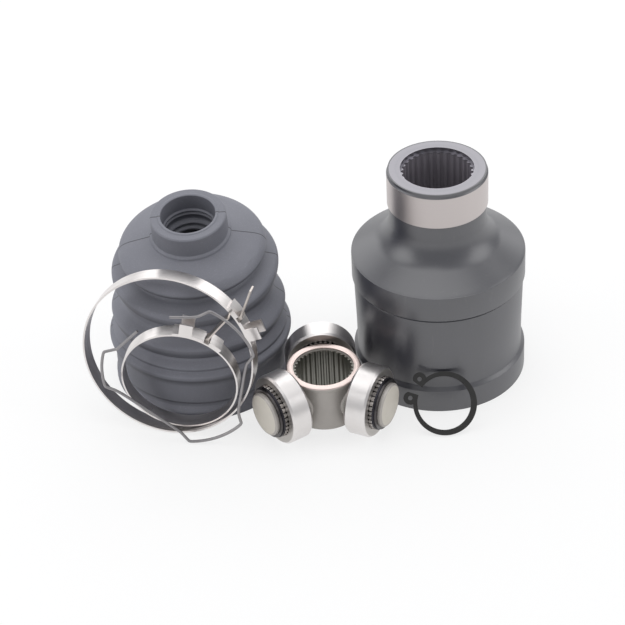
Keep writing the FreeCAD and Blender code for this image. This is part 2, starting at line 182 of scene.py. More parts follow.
# %% The boot's folds, straight
boot_mount = Vector(mounts["boot_large_end"]["pos_m"])
neck_mount = Vector(mounts["boot_small_end"]["pos_m"])
neck_axis = Vector(mounts["boot_small_end"]["axis"]).normalized()
boot_centre = (boot_mount.x, boot_mount.y)
seat_radius = mounts["boot_large_end"]["dims"]["r_mm"]
bore_radius = mounts["boot_small_end"]["dims"]["r_mm"]

boot_outside = [
    (40.6, 0.0, 0.5), (41.0, 1.2, 0.5), (41.0, 5.0, 0.9), (39.5, 7.2, 0.5), (39.5, 9.2, 0.5),
    (40.4, 10.4, 0.5), (40.4, 20.8, 1.0), (41.2, 22.6, 0.6), (42.5, 24.2, 0.8), (42.5, 26.6, 0.9),
    (40.4, 28.2, 0.5), (40.9, 29.8, 0.6), (38.4, 33.6, 1.6), (38.4, 34.6, 1.2),
    (40.5, 38.4, 1.4), (40.5, 41.2, 1.6), (35.4, 45.6, 1.8), (35.0, 50.5, 1.4),
    (38.8, 59.6, 1.8), (38.4, 63.2, 2.2), (30.0, 66.2, 1.4), (30.0, 68.4, 1.2),
    (34.2, 71.4, 1.4), (33.6, 75.0, 2.4), (30.0, 77.4, 2.4), (18.7, 80.2, 0.4),
    (18.5, 81.6, 0.4), (17.5, 82.2, 0.3), (17.4, 91.6, 0.5), (16.8, 92.0, 0.3),
    (14.0, 92.0, 0.3), (13.7, 92.4, 0.2),
]
boot_inside = [
    (bore_radius, 92.3, 0.3), (bore_radius, 84.2, 0.3), (bore_radius - 0.8, 83.6, 0.2),
    (bore_radius - 0.8, 83.2, 0.2), (bore_radius - 0.1, 82.7, 0.2), (bore_radius - 0.1, 82.2, 0.2),
    (bore_radius - 0.9, 81.7, 0.2), (bore_radius - 0.9, 81.2, 0.2), (bore_radius, 80.6, 0.3),
    (bore_radius, 78.4, 0.4), (10.6, 77.2, 0.3), (10.5, 76.5, 0.3), (11.9, 75.7, 0.3),
    (9.7, 74.5, 0.3), (9.6, 73.7, 0.3), (13.8, 73.6, 0.4), (15.2, 76.6, 0.6),
    (27.0, 75.2, 1.5), (31.6, 72.6, 1.2),
    (27.9, 69.0, 0.8), (27.9, 65.6, 0.8), (36.2, 61.6, 1.2), (36.2, 60.0, 1.2),
    (33.0, 50.0, 1.2), (33.2, 45.4, 1.4), (38.2, 40.4, 1.0), (38.2, 39.2, 1.0),
    (36.2, 35.0, 1.0), (36.2, 33.0, 1.0), (seat_radius + 0.6, 29.0, 1.0), (seat_radius, 22.0, 0.6),
    (seat_radius, 0.0, 0.4),
]
boot = turned_shape("boot_bellows", boot_centre, boot_outside + boot_inside)
round_rings(boot_centre, boot_outside + boot_inside)
print("the boot has", len(boot_outside), "rings outside and", len(boot_inside), "inside")

# %% [markdown]
# ### Bending the boot
#
# Real rubber bends where it is thin, in the valley between two folds. Everything above a height
# is turned by a share of the bend about that height, and five such steps make one soft curve.
# Without a window, the rotate operator needs to be told its centre, and it turns the other way
# round, so the result is measured against the neck's axis in the solid model.

# %% Bend the upper folds
BEND_BOTTOM, BEND_TOP, BEND_STEPS = 51.0, 57.0, 5
turn_about_x = -math.asin(neck_axis.y)
turn_about_y = math.asin(neck_axis.x)
start_editing(boot)
for step in range(BEND_STEPS):
    height = BEND_BOTTOM + (BEND_TOP - BEND_BOTTOM) * step / (BEND_STEPS - 1)
    share = step / BEND_STEPS
    middle = Vector((boot_centre[0], boot_centre[1], height * MM))
    plane_normal = Vector((math.sin(turn_about_y * share), -math.sin(turn_about_x * share), 1))
    plane_normal.normalize()
    pick("VERT", lambda place: (place - middle).dot(plane_normal) > 0)
    for axis, angle in (("X", turn_about_x), ("Y", turn_about_y)):
        bpy.ops.transform.rotate(value=-angle / BEND_STEPS, orient_axis=axis,
                                 orient_type="GLOBAL", center_override=middle)
deselect_all()
lip = [vertex.co for vertex in boot.data.vertices
       if (vertex.co - neck_mount).dot(neck_axis) > 2 * MM]
lip_middle = sum(lip, Vector()) / len(lip)
print("the neck's middle lies", round((lip_middle - neck_mount).cross(neck_axis).length / MM, 2),
      "mm off the solid model's neck axis")
finish_piece(boot, "boot", smooth_angle=40)
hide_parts("boot")

# %% [markdown]
# ## The wire ring
#
# The ring sits in the housing's mouth and keeps the rollers from running out. It is spring wire,
# bent on a jig, so its corners are round, and the solid model draws them sharp. A path with a
# round bevel is how wire is best made: its points are the jig's pegs, and the curve's own
# smoothness gives the bends. It is then made a mesh, so that it exports as any piece does.

# %% Bend the wire
WIRE_RADIUS = 0.7
WIRE_LOBE_RADIUS = 36.27
WIRE_INNER_RADIUS = 31.0
WIRE_END_RADIUS = 29.2
WIRE_LOBES = ((44, 46), (-65, 44), (-182, 30))
WIRE_BEND_SWEEP = 7
WIRE_END_SWEEP = 49
WIRE_OPENING = 1.9             # how much further out the first lobe starts than it ends
WIRE_PLACE = (-119.7, -50.8)
WIRE_LEAN, WIRE_TURN = 4.2, -9.5


def standing_frame(x, y, height, lean, turn):
    """A ring's own axes on the bench: X to the right, Y up its plane, Z towards the front."""
    tilt, swing = math.radians(lean), math.radians(turn)
    right = Vector((math.cos(swing), math.sin(swing), 0))
    front = Vector((math.sin(swing) * math.cos(tilt), -math.cos(swing) * math.cos(tilt),
                    math.sin(tilt)))
    rotation = Matrix((right, front.cross(right), front)).transposed().to_4x4()
    return Matrix.Translation(Vector((x, y, height)) * MM) @ rotation


def peg(radius, sweep):
    angle = math.radians(sweep)
    return Vector((radius * math.cos(angle), radius * math.sin(angle), 0)) * MM


pegs = [peg(WIRE_END_RADIUS + WIRE_OPENING, WIRE_LOBES[0][0] + WIRE_END_SWEEP + 3)]
opening = WIRE_OPENING
for middle, sweep in WIRE_LOBES:
    start, end = middle + sweep / 2, middle - sweep / 2
    bend_in = peg(WIRE_INNER_RADIUS + opening, start + WIRE_BEND_SWEEP)
    bend_out = peg(WIRE_INNER_RADIUS, end - WIRE_BEND_SWEEP)
    top, foot = peg(WIRE_LOBE_RADIUS + opening, start), peg(WIRE_LOBE_RADIUS, end)
    pegs += [pegs[-1].lerp(bend_in, 0.5), pegs[-1].lerp(bend_in, 0.9), bend_in.lerp(top, 0.2),
             bend_in.lerp(top, 0.8)]
    turns = 8
    pegs += [peg(WIRE_LOBE_RADIUS + opening * (1 - step / turns), start - sweep * step / turns)
             for step in range(turns + 1)]
    pegs += [foot.lerp(bend_out, 0.2), foot.lerp(bend_out, 0.8), bend_out]
    opening = 0
last = peg(WIRE_END_RADIUS, WIRE_LOBES[-1][0] - WIRE_END_SWEEP)
pegs += [pegs[-1].lerp(last, 0.1), pegs[-1].lerp(last, 0.5), last]

wire_height = (WIRE_LOBE_RADIUS + WIRE_RADIUS) * math.cos(math.radians(WIRE_LEAN))
wire_height += WIRE_RADIUS * math.sin(math.radians(WIRE_LEAN))
place = standing_frame(*WIRE_PLACE, wire_height, WIRE_LEAN, WIRE_TURN)
deselect_all()
bpy.ops.curve.primitive_nurbs_path_add(radius=1)
wire = bpy.context.object
wire.name = "roller_stop_wire"
line = wire.data
line.splines.clear()
strand = line.splines.new("NURBS")
strand.points.add(len(pegs) - 1)
for point, where in zip(strand.points, pegs):
    point.co = (place @ where).to_4d()
strand.order_u = 3
strand.use_endpoint_u = True
strand.resolution_u = 6
line.bevel_depth = WIRE_RADIUS * MM
line.bevel_resolution = 3
line.use_fill_caps = True
bpy.ops.object.convert(target="MESH")
wire = bpy.context.object
wire_low, wire_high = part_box("mouth_wire_ring")
print("wire in the solid model spans", [round(v / MM, 1) for v in (*wire_low, *wire_high)])
print("wire as bent here spans",
      [round(min(v.co[axis] for v in wire.data.vertices) / MM, 1) for axis in range(3)],
      [round(max(v.co[axis] for v in wire.data.vertices) / MM, 1) for axis in range(3)])
finish_piece(wire, "wire_ring", smooth_angle=60)
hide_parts("mouth_wire_ring")

# %% [markdown]
# ## The housing's turned skin
#
# The solid model keeps the housing to plain cylinders and cones. The real one was finished on a
# lathe with a round-nosed tool, which leaves a hollow curve where the neck meets the cone, a
# thin groove under the shoulder and softly broken edges. Those are too fine to be worth steps
# in the solids, so a thin turned skin is laid over them, drawn ring by ring like the boot. Over
# the boot's seat it lies close, because the circlip leans there, and higher up it widens.

# %% Turn the skin
NECK_RADIUS, SHOULDER_RADIUS, SEAT_RADIUS, BODY_RADIUS = 22.35, 40.04, 38.4, 39.2
NECK_ROUND = 8.0
GROOVE_DEPTH = 0.45
CONE_SLOPE = math.tan(math.radians(31))
CONE_FOOT = 64.1
cone_top = CONE_FOOT + (SHOULDER_RADIUS - NECK_RADIUS) * CONE_SLOPE
skin_outside = [
    (39.5, 0.05, 0.2), (SHOULDER_RADIUS, 0.7, 0.3), (SHOULDER_RADIUS, 11.35, 0.25),
    (SEAT_RADIUS, 13.1, 0.5), (SEAT_RADIUS, 24.0, 3.0),
    (BODY_RADIUS, 50.5, 0.15), (BODY_RADIUS - GROOVE_DEPTH, 50.7, 0.1),
    (BODY_RADIUS - GROOVE_DEPTH, 51.2, 0.1), (SHOULDER_RADIUS, 51.7, 0.25),
    (SHOULDER_RADIUS, CONE_FOOT - 0.1, 0.5), (SHOULDER_RADIUS - 0.75, CONE_FOOT + 0.5, 0.5),
    (NECK_RADIUS, cone_top, NECK_ROUND), (NECK_RADIUS, 90.5, 0.15),
]
skin_inside = [(21.8, 90.6, 0), (21.8, 73.0, 0), (37.9, 62.0, 0), (37.9, 0.3, 0)]
skin = turned_shape("housing_skin", (0, 0), skin_outside + skin_inside)
round_rings((0, 0), skin_outside, segments=3)
finish_piece(skin, "housing", smooth_angle=24)

# %% [markdown]
# ### The tripod's facing
#
# The top of the hub is faced wider than its body, with a bright flat round the splines. It is
# one more small turned ring, and its edges are broken just enough to catch the light.

# %% Turn the hub's facing
hub_top = Vector(mounts["hub_spline"]["pos_m"])
hub_tip = mounts["hub_spline"]["dims"]["r_mm"]
face = hub_top.z / MM + 0.05
facing_rings = [
    (16.4, face - 2.6, 0.3), (17.1, face - 1.7, 0.3), (17.15, face - 0.5, 0.2), (16.8, face, 0.2),
    (hub_tip + 2.1, face, 0.15), (hub_tip + 1.2, face - 1.0, 0.1), (hub_tip + 1.25, face - 2.6, 0),
]
facing = turned_shape("hub_facing", (hub_top.x, hub_top.y), facing_rings)
round_rings((hub_top.x, hub_top.y), facing_rings, segments=3)
finish_piece(facing, "tripod", smooth_angle=30)

# %% [markdown]
# ## Building finishes
#
# A finish is a small machine of shader nodes. A few helpers keep that machine readable: they add
# a sum, mix two colours or two numbers, and make noise. Each takes either a number or the output
# of another node. Places are in metres, and the masks are given in millimetres.

# %% Node helpers
def put(tree, value, socket):
    """Types a number or colour into a socket, or links another node's output to it."""
    if isinstance(value, bpy.types.NodeSocket):
        tree.links.new(value, socket)
    else:
        socket.default_value = value


def calc(tree, operation, *values, clamp=False):
    node = tree.nodes.new("ShaderNodeMath")
    node.operation = operation
    node.use_clamp = clamp
    for value, socket in zip(values, node.inputs):
        put(tree, value, socket)
    return node.outputs[0]


def vector_calc(tree, operation, *values):
    node = tree.nodes.new("ShaderNodeVectorMath")
    node.operation = operation
    for value, socket in zip(values, node.inputs):
        put(tree, value, socket)
    return node.outputs


def blend_colours(tree, share, one, other):
    node = tree.nodes.new("ShaderNodeMix")
    node.data_type = "RGBA"
    put(tree, share, node.inputs[0])
    put(tree, one, node.inputs[6])
    put(tree, other, node.inputs[7])
    return node.outputs[2]


def blend_numbers(tree, share, one, other):
    node = tree.nodes.new("ShaderNodeMix")
    node.data_type = "FLOAT"
    put(tree, share, node.inputs[0])
    put(tree, one, node.inputs[2])
    put(tree, other, node.inputs[3])
    return node.outputs[0]


def noise(tree, place, scale, detail=2.0, roughness=0.5, dimensions="3D"):
    node = tree.nodes.new("ShaderNodeTexNoise")
    node.noise_dimensions = dimensions
    put(tree, place, node.inputs["W" if dimensions == "1D" else "Vector"])
    put(tree, scale, node.inputs["Scale"])
    node.inputs["Detail"].default_value = detail
    node.inputs["Roughness"].default_value = roughness
    return node.outputs["Fac"]


def new_group(name, inputs, outputs):
    """Makes a node group with named (label, kind, value) inputs and (label, kind) outputs."""
    tree = bpy.data.node_groups.new(name, "ShaderNodeTree")
    for label, kind, value in inputs:
        socket = tree.interface.new_socket(label, in_out="INPUT", socket_type=kind)
        socket.default_value = value
    for label, kind in outputs:
        tree.interface.new_socket(label, in_out="OUTPUT", socket_type=kind)
    return tree, tree.nodes.new("NodeGroupInput").outputs, tree.nodes.new("NodeGroupOutput").inputs


def use_group(tree, group, **values):
    """Places a group in a material and sets its inputs by name."""
    node = tree.nodes.new("ShaderNodeGroup")
    node.node_tree = group
    for label, value in values.items():
        put(tree, value, node.inputs[label.replace("_", " ")])
    return node.outputs


FLOAT, VECTOR = "NodeSocketFloat", "NodeSocketVector"
print("node helpers are ready")

# %% [markdown]
# ## Effects that several finishes share
#
# Turned and ground steel, moulded rubber and handled parts have things in common. Each of these
# is a node group, built once: where a point lies around an axis, a band between two values,
# the fine rings that a lathe or grinder leaves, and the mottle of oil and handling.

# %% Where a point lies round an axis
around_axis, given, out = new_group(
    "PlaceRoundAxis",
    [("Position", VECTOR, (0, 0, 0)), ("Centre", VECTOR, (0, 0, 0)), ("Axis", VECTOR, (0, 0, 1))],
    [("Along", FLOAT), ("Radius", FLOAT)])
offset = vector_calc(around_axis, "SUBTRACT", given["Position"], given["Centre"])["Vector"]
along = vector_calc(around_axis, "DOT_PRODUCT", offset, given["Axis"])["Value"]
across = vector_calc(around_axis, "CROSS_PRODUCT", offset, given["Axis"])["Vector"]
put(around_axis, along, out["Along"])
put(around_axis, vector_calc(around_axis, "LENGTH", across)["Value"], out["Radius"])
print("group:", around_axis.name)

# %% A band between two values
band_between, given, out = new_group(
    "BandBetween",
    [("Value", FLOAT, 0.0), ("From", FLOAT, 0.0), ("To", FLOAT, 1.0), ("Soft", FLOAT, 0.0002)],
    [("Mask", FLOAT)])
rising = calc(band_between, "DIVIDE", calc(band_between, "SUBTRACT", given["Value"], given["From"]),
              given["Soft"])
falling = calc(band_between, "DIVIDE", calc(band_between, "SUBTRACT", given["To"], given["Value"]),
               given["Soft"])
both = calc(band_between, "MINIMUM", rising, falling)
put(band_between, calc(band_between, "ADD", both, 0.5, clamp=True), out["Mask"])
print("group:", band_between.name)

# %% Rings left by a lathe or a grinder
tool_rings, given, out = new_group(
    "ToolRings",
    [("Place", FLOAT, 0.0), ("Position", VECTOR, (0, 0, 0)), ("Pitch", FLOAT, 0.0003),
     ("Drift", FLOAT, 0.3)],
    [("Height", FLOAT), ("Tone", FLOAT)])
turns = calc(tool_rings, "DIVIDE", given["Place"], given["Pitch"])
fine = noise(tool_rings, turns, 1.0, detail=3.0, roughness=0.65, dimensions="1D")
wander = noise(tool_rings, given["Position"], 55.0, detail=2.0)
drifted = calc(tool_rings, "MULTIPLY", calc(tool_rings, "SUBTRACT", wander, 0.5), given["Drift"])
coarse = noise(tool_rings, calc(tool_rings, "MULTIPLY", turns, 0.12), 1.0, detail=2.0, dimensions="1D")
put(tool_rings, fine, out["Height"])
put(tool_rings, calc(tool_rings, "ADD", coarse, drifted, clamp=True), out["Tone"])
print("group:", tool_rings.name)

# %% Mottle of oil and handling
handled_film, given, out = new_group(
    "HandledFilm",
    [("Position", VECTOR, (0, 0, 0)), ("Patch", FLOAT, 60.0), ("Speck", FLOAT, 1400.0)],
    [("Patches", FLOAT), ("Specks", FLOAT), ("Scuffs", FLOAT)])
patches = noise(handled_film, given["Position"], given["Patch"], detail=4.0, roughness=0.6)
specks = noise(handled_film, given["Position"], given["Speck"], detail=1.0)
put(handled_film, patches, out["Patches"])
put(handled_film, specks, out["Specks"])
stretch = handled_film.nodes.new("ShaderNodeMapping")
stretch.inputs["Scale"].default_value = (1.0, 1.0, 0.12)
stretch.inputs["Rotation"].default_value = (0.5, 0.9, 0.3)
put(handled_film, given["Position"], stretch.inputs["Vector"])
scuffs = noise(handled_film, stretch.outputs["Vector"], 420.0, detail=3.0, roughness=0.7)
put(handled_film, calc(handled_film, "MULTIPLY", calc(handled_film, "SUBTRACT", scuffs, 0.62), 8.0,
                       clamp=True), out["Scuffs"])
print("group:", handled_film.name)

# %% [markdown]
# ### A finish from its parts
#
# Every finish here starts the same way: a Principled shader, the point's own position, and a
# bump. What differs is which masks it mixes. Values that are the same all over stay on the
# shader's own sockets, and only colour, roughness, metal and height come from nodes.

# %% Start a finish
class Finish:
    """A material being built: its tree, its shader and the object's own coordinates."""

    def __init__(self, name, **constants):
        self.material = bpy.data.materials.new(name)
        self.material.use_nodes = True
        self.tree = self.material.node_tree
        self.shader = self.tree.nodes["Principled BSDF"]
        self.place = self.tree.nodes.new("ShaderNodeTexCoord").outputs["Object"]
        for label, value in constants.items():
            self.shader.inputs[label.replace("_", " ")].default_value = value

    def around(self, centre, axis=(0, 0, 1)):
        return use_group(self.tree, around_axis, Position=self.place, Centre=centre, Axis=axis)

    def band(self, value, low, high, soft=0.25):
        """A mask that is one where the value lies between low and high, in millimetres."""
        return use_group(self.tree, band_between, Value=value, From=low * MM, To=high * MM,
                         Soft=soft * MM)["Mask"]

    def both(self, one, other):
        return calc(self.tree, "MULTIPLY", one, other)

    def set(self, **values):
        for label, value in values.items():
            put(self.tree, value, self.shader.inputs[label.replace("_", " ")])

    def bump(self, height, depth, strength=1.0):
        """Height from 0 to 1, and what a height of one stands for, in millimetres."""
        node = self.tree.nodes.new("ShaderNodeBump")
        node.inputs["Strength"].default_value = strength
        node.inputs["Distance"].default_value = depth * MM
        put(self.tree, height, node.inputs["Height"])
        self.tree.links.new(node.outputs["Normal"], self.shader.inputs["Normal"])

    def cover(self, piece):
        """Paints the whole piece with this finish."""
        piece.data.materials.clear()
        piece.data.materials.append(self.material)


def middle_of(node):
    low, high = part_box(node)
    return (low + high) / 2


def filmed_steel(name, piece, patch, speck, tones, roughness, depth, **constants):
    """Steel without tool marks: only the mottle of oil and handling lies on it."""
    steel = Finish(name, **constants)
    film = use_group(steel.tree, handled_film, Position=steel.place, Patch=patch, Speck=speck)
    steel.set(Base_Color=blend_colours(steel.tree, film["Patches"], *tones),
              Roughness=blend_numbers(steel.tree, film["Patches"], *roughness))
    steel.bump(film["Specks"], depth)
    steel.cover(piece)


def paint(red, green, blue):
    """A colour from its eight-bit screen values, as the linear colour that nodes use."""
    parts = [value / 255 for value in (red, green, blue)]
    return tuple(v / 12.92 if v <= 0.04045 else ((v + 0.055) / 1.055) ** 2.4 for v in parts) + (1,)


print("ready to build finishes")

# %% [markdown]
# ## The housing's finish
#
# The housing is forged, turned and then blacked, all but the land that the oil seal runs on,
# which is ground bright. One finish covers the whole node and the skin over it, and the masks
# come from where a point lies: its height and its distance from the housing's axis. The blacking
# is a thin dark film on steel, so it mirrors more than paint would, and a higher index of
# refraction says so.

# %% Blacked and ground steel
BLACKING = paint(40, 41, 48)
BLACKING_WORN = paint(60, 60, 68)
GROUND_STEEL = paint(196, 189, 187)
TURNED_STEEL = paint(140, 139, 144)
OILED_STEEL = paint(88, 86, 88)
LEAD_IN_RADIUS, LEAD_IN_FOOT = 17.0, 105.6
SPLINE_RADIUS, SPLINE_FOOT, SPLINE_TOP = 17.1, 58, 107.9
CAVITY_RADIUS, CAVITY_TOP = 37.0, 57.5
ABOVE_ALL = 120

seal_radius = mounts["neck_seal_land"]["dims"]["r_mm"]
seal_length = mounts["neck_seal_land"]["dims"]["length_mm"]
seal_top = mounts["neck_seal_land"]["pos_m"][2] / MM + seal_length / 2
seal_bottom = seal_top - seal_length

housing = Finish("housing_blacked_steel", IOR=2.05)
tree = housing.tree
polar = housing.around((0, 0, 0))
film = use_group(tree, handled_film, Position=housing.place, Patch=45.0, Speck=1600.0)
rings = use_group(tree, tool_rings, Place=polar["Along"], Position=housing.place,
                  Pitch=0.0005, Drift=0.4)
face_rings = use_group(tree, tool_rings, Place=polar["Radius"], Position=housing.place,
                       Pitch=0.0004)
seal = housing.both(housing.band(polar["Along"], seal_bottom, seal_top, 0.3),
                    housing.band(polar["Radius"], seal_radius - 0.6, seal_radius + 5))
top_face = housing.both(housing.band(polar["Along"], seal_top + 1.35, ABOVE_ALL, 0.15),
                        housing.band(polar["Radius"], -1, seal_radius - 1.2, 0.2))
lead_in = housing.both(housing.band(polar["Radius"], -1, LEAD_IN_RADIUS, 0.1),
                       housing.band(polar["Along"], LEAD_IN_FOOT, ABOVE_ALL))
spline_bore = housing.both(housing.band(polar["Radius"], -1, SPLINE_RADIUS),
                           housing.band(polar["Along"], SPLINE_FOOT, SPLINE_TOP))
cavity = housing.both(housing.band(polar["Radius"], -1, CAVITY_RADIUS),
                      housing.band(polar["Along"], -1, CAVITY_TOP))

black = blend_colours(tree, film["Patches"], BLACKING, BLACKING_WORN)
black = blend_colours(tree, calc(tree, "MULTIPLY", film["Scuffs"], 0.25), black, OILED_STEEL)
turned = blend_colours(tree, face_rings["Tone"], TURNED_STEEL, paint(156, 154, 159))
ground = blend_colours(tree, calc(tree, "MULTIPLY", rings["Tone"], 0.4),
                       GROUND_STEEL, paint(196, 188, 188))
oiled = blend_colours(tree, film["Patches"], OILED_STEEL, paint(120, 117, 119))
broached = blend_colours(tree, film["Patches"], paint(118, 114, 122), paint(150, 145, 152))
colour = blend_colours(tree, cavity, black, oiled)
colour = blend_colours(tree, top_face, colour, turned)
colour = blend_colours(tree, spline_bore, colour, broached)
colour = blend_colours(tree, lead_in, colour, paint(160, 158, 164))
colour = blend_colours(tree, seal, colour, ground)
bright = calc(tree, "MAXIMUM", calc(tree, "MAXIMUM", seal, top_face), lead_in, clamp=True)
metal = calc(tree, "MAXIMUM", bright, calc(tree, "MULTIPLY", cavity, 0.8), clamp=True)
rough = blend_numbers(tree, film["Patches"], 0.28, 0.42)
rough = blend_numbers(tree, bright, rough, blend_numbers(tree, rings["Height"], 0.30, 0.46))
housing.set(Base_Color=colour, Metallic=metal, Roughness=rough)
height = blend_numbers(tree, top_face, rings["Height"], face_rings["Height"])
housing.bump(height, 0.008)
housing.cover(nodes["outer_housing"])
housing.cover(skin)
print("seal land runs from", round(seal_bottom, 1), "to", round(seal_top, 1), "mm")

filmed_steel("core_plug_zinc", nodes["core_plug"], patch=150.0, speck=1500.0,
             tones=(paint(92, 90, 90), paint(130, 126, 122)), roughness=(0.35, 0.55),
             depth=0.01, Metallic=1.0)

# %% [markdown]
# ## The boot's rubber
#
# The boot is black rubber with a grey bloom. The tool that moulded it was spark-eroded, so the
# skin has a fine grain, and its two halves left a thin dark line of flash on each side. That line
# lies in one plane through the boot's centre line, and above the bend the plane leans with the
# folds, which one more sum takes into account. The undersides of the folds get painted shade: the
# more a face turns down, the darker its colour is painted, and faces that turn up keep the grey.

# %% Moulded rubber with its parting line
rubber = Finish("boot_moulded_rubber", IOR=1.5)
tree = rubber.tree
film = use_group(tree, handled_film, Position=rubber.place, Patch=38.0, Speck=1900.0)
parts = tree.nodes.new("ShaderNodeSeparateXYZ")
put(tree, rubber.place, parts.inputs[0])
lean = neck_axis.y / neck_axis.z
bend_middle = (BEND_BOTTOM + BEND_TOP) / 2 * MM
above_bend = calc(tree, "MAXIMUM", calc(tree, "SUBTRACT", parts.outputs["Z"], bend_middle), 0.0)
middle_line = calc(tree, "ADD", calc(tree, "MULTIPLY", above_bend, lean), boot_centre[1])
off_plane = calc(tree, "ABSOLUTE", calc(tree, "SUBTRACT", parts.outputs["Y"], middle_line))
flash = rubber.band(off_plane, -1, 0.22, 0.16)
grain = noise(tree, rubber.place, 1500.0, detail=3.0, roughness=0.7)
specks = calc(tree, "MULTIPLY", calc(tree, "SUBTRACT", film["Specks"], 0.60), 6.0, clamp=True)
outward = tree.nodes.new("ShaderNodeSeparateXYZ")
tree.links.new(tree.nodes.new("ShaderNodeTexCoord").outputs["Normal"], outward.inputs[0])
# How far a face turns up sets the painted shade: faces turned down get the dark painted shade colour.
painted_shade_by_facing = calc(tree, "ADD", outward.outputs["Z"], 0.74, clamp=True)
colour = blend_colours(tree, film["Patches"], paint(108, 109, 118), paint(130, 131, 139))
colour = blend_colours(tree, calc(tree, "MULTIPLY", specks, 0.35), colour, paint(150, 151, 160))
# Painted shade: faces turned down take paint(52, 53, 60) instead of the grey.
colour = blend_colours(tree, painted_shade_by_facing, paint(52, 53, 60), colour)
colour = blend_colours(tree, calc(tree, "MULTIPLY", flash, 0.85), colour, paint(28, 28, 33))
rubber.set(Base_Color=colour, Roughness=blend_numbers(tree, film["Patches"], 0.52, 0.68))
raised = calc(tree, "ADD", calc(tree, "MULTIPLY", grain, 0.35), calc(tree, "MULTIPLY", flash, 0.65))
rubber.bump(raised, 0.16, strength=0.9)
rubber.cover(boot)
print("the parting plane leans by", round(math.degrees(math.atan(lean)), 1), "degrees above the bend")

# %% [markdown]
# ## The tripod's finishes
#
# The spider is forged and phosphated, then faced bright on top of its hub and on the ends of its
# three trunnions. The rollers are hardened and ground until they shine, with plainer turned
# sides. Each roller has its own axis, so its finish is built anew from the direction of its
# trunnion.

# %% The spider
spider_low, spider_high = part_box("tripod_spider")
HUB_SIDE, ARM_ROOT, TRUNNION_END = 17.5, 29.0, 32.9
FACED_END_RADIUS = 9.3
PAST_ALL = 60
hub_middle = Vector((hub_top.x, hub_top.y, (spider_low.z + spider_high.z) / 2))


def arm_of(number):
    """The direction of a roller's trunnion, and how far out the roller's middle lies."""
    out_along = middle_of("roller_" + number) - hub_middle
    out_along.z = 0
    return out_along.normalized(), out_along.length


spider = Finish("spider_phosphated_forging")
tree = spider.tree
polar = spider.around(hub_top)
film = use_group(tree, handled_film, Position=spider.place, Patch=90.0, Speck=1300.0)
face_rings = use_group(tree, tool_rings, Place=polar["Radius"], Position=spider.place,
                       Pitch=0.0003, Drift=0.5)
on_top = spider.both(spider.band(polar["Along"], -0.5, 2, 0.3),
                     spider.band(polar["Radius"], hub_tip + 0.9, 20))
off_arms = [spider.around(hub_middle, arm_of(number)[0])["Radius"] for number in ("1", "2", "3")]
off_arm = calc(tree, "MINIMUM", calc(tree, "MINIMUM", off_arms[0], off_arms[1]), off_arms[2])
trunnion_end = spider.both(spider.band(polar["Radius"], TRUNNION_END, PAST_ALL, 0.1),
                           spider.band(off_arm, -1, FACED_END_RADIUS, 0.2))
in_bore = spider.both(spider.band(polar["Radius"], -1, hub_tip + 1.0),
                      spider.band(polar["Along"], -30, -0.3))
trunnion_side = spider.band(polar["Radius"], HUB_SIDE, ARM_ROOT)
forged = blend_colours(tree, film["Patches"], paint(166, 161, 156), paint(188, 183, 178))
faced = blend_colours(tree, face_rings["Tone"], paint(232, 214, 208), paint(212, 196, 191))
broached = blend_colours(tree, film["Patches"], paint(116, 116, 110), paint(148, 146, 140))
ends = blend_colours(tree, film["Patches"], paint(196, 190, 178), paint(214, 208, 198))
colour = blend_colours(tree, trunnion_side, forged, broached)
colour = blend_colours(tree, on_top, colour, faced)
colour = blend_colours(tree, in_bore, colour, broached)
colour = blend_colours(tree, trunnion_end, colour, ends)
bright = calc(tree, "MAXIMUM", calc(tree, "MAXIMUM", on_top, in_bore), trunnion_side, clamp=True)
metal = calc(tree, "MAXIMUM", bright, 0.4, clamp=True)
metal = calc(tree, "SUBTRACT", metal, calc(tree, "MULTIPLY", trunnion_end, 0.5))
spider.set(Base_Color=colour, Metallic=metal, Roughness=blend_numbers(tree, bright, 0.5, 0.34))
spider.bump(blend_numbers(tree, on_top, film["Specks"], face_rings["Height"]), 0.02)
spider.cover(nodes["tripod_spider"])
spider.cover(facing)
print("spider spans", [round(v / MM, 1) for v in (*spider_low, *spider_high)])

# %% The rollers, needles and their retainers
ROLLER_FACE_RADIUS = 15.7


def retainer_finish(name, node, arm, metallic, patch, pitch, tones, roughness, depth):
    """A small turned ring seen from its flat side, with rings round the trunnion's axis."""
    ring = Finish(name, Metallic=metallic)
    polar = ring.around(hub_middle, arm)
    film = use_group(ring.tree, handled_film, Position=ring.place, Patch=patch, Speck=1500.0)
    side_rings = use_group(ring.tree, tool_rings, Place=polar["Radius"], Position=ring.place,
                           Pitch=pitch)
    ring.set(Base_Color=blend_colours(ring.tree, side_rings["Tone"], *tones),
             Roughness=blend_numbers(ring.tree, film["Patches"], *roughness))
    ring.bump(side_rings["Height"], depth)
    ring.cover(nodes[node])


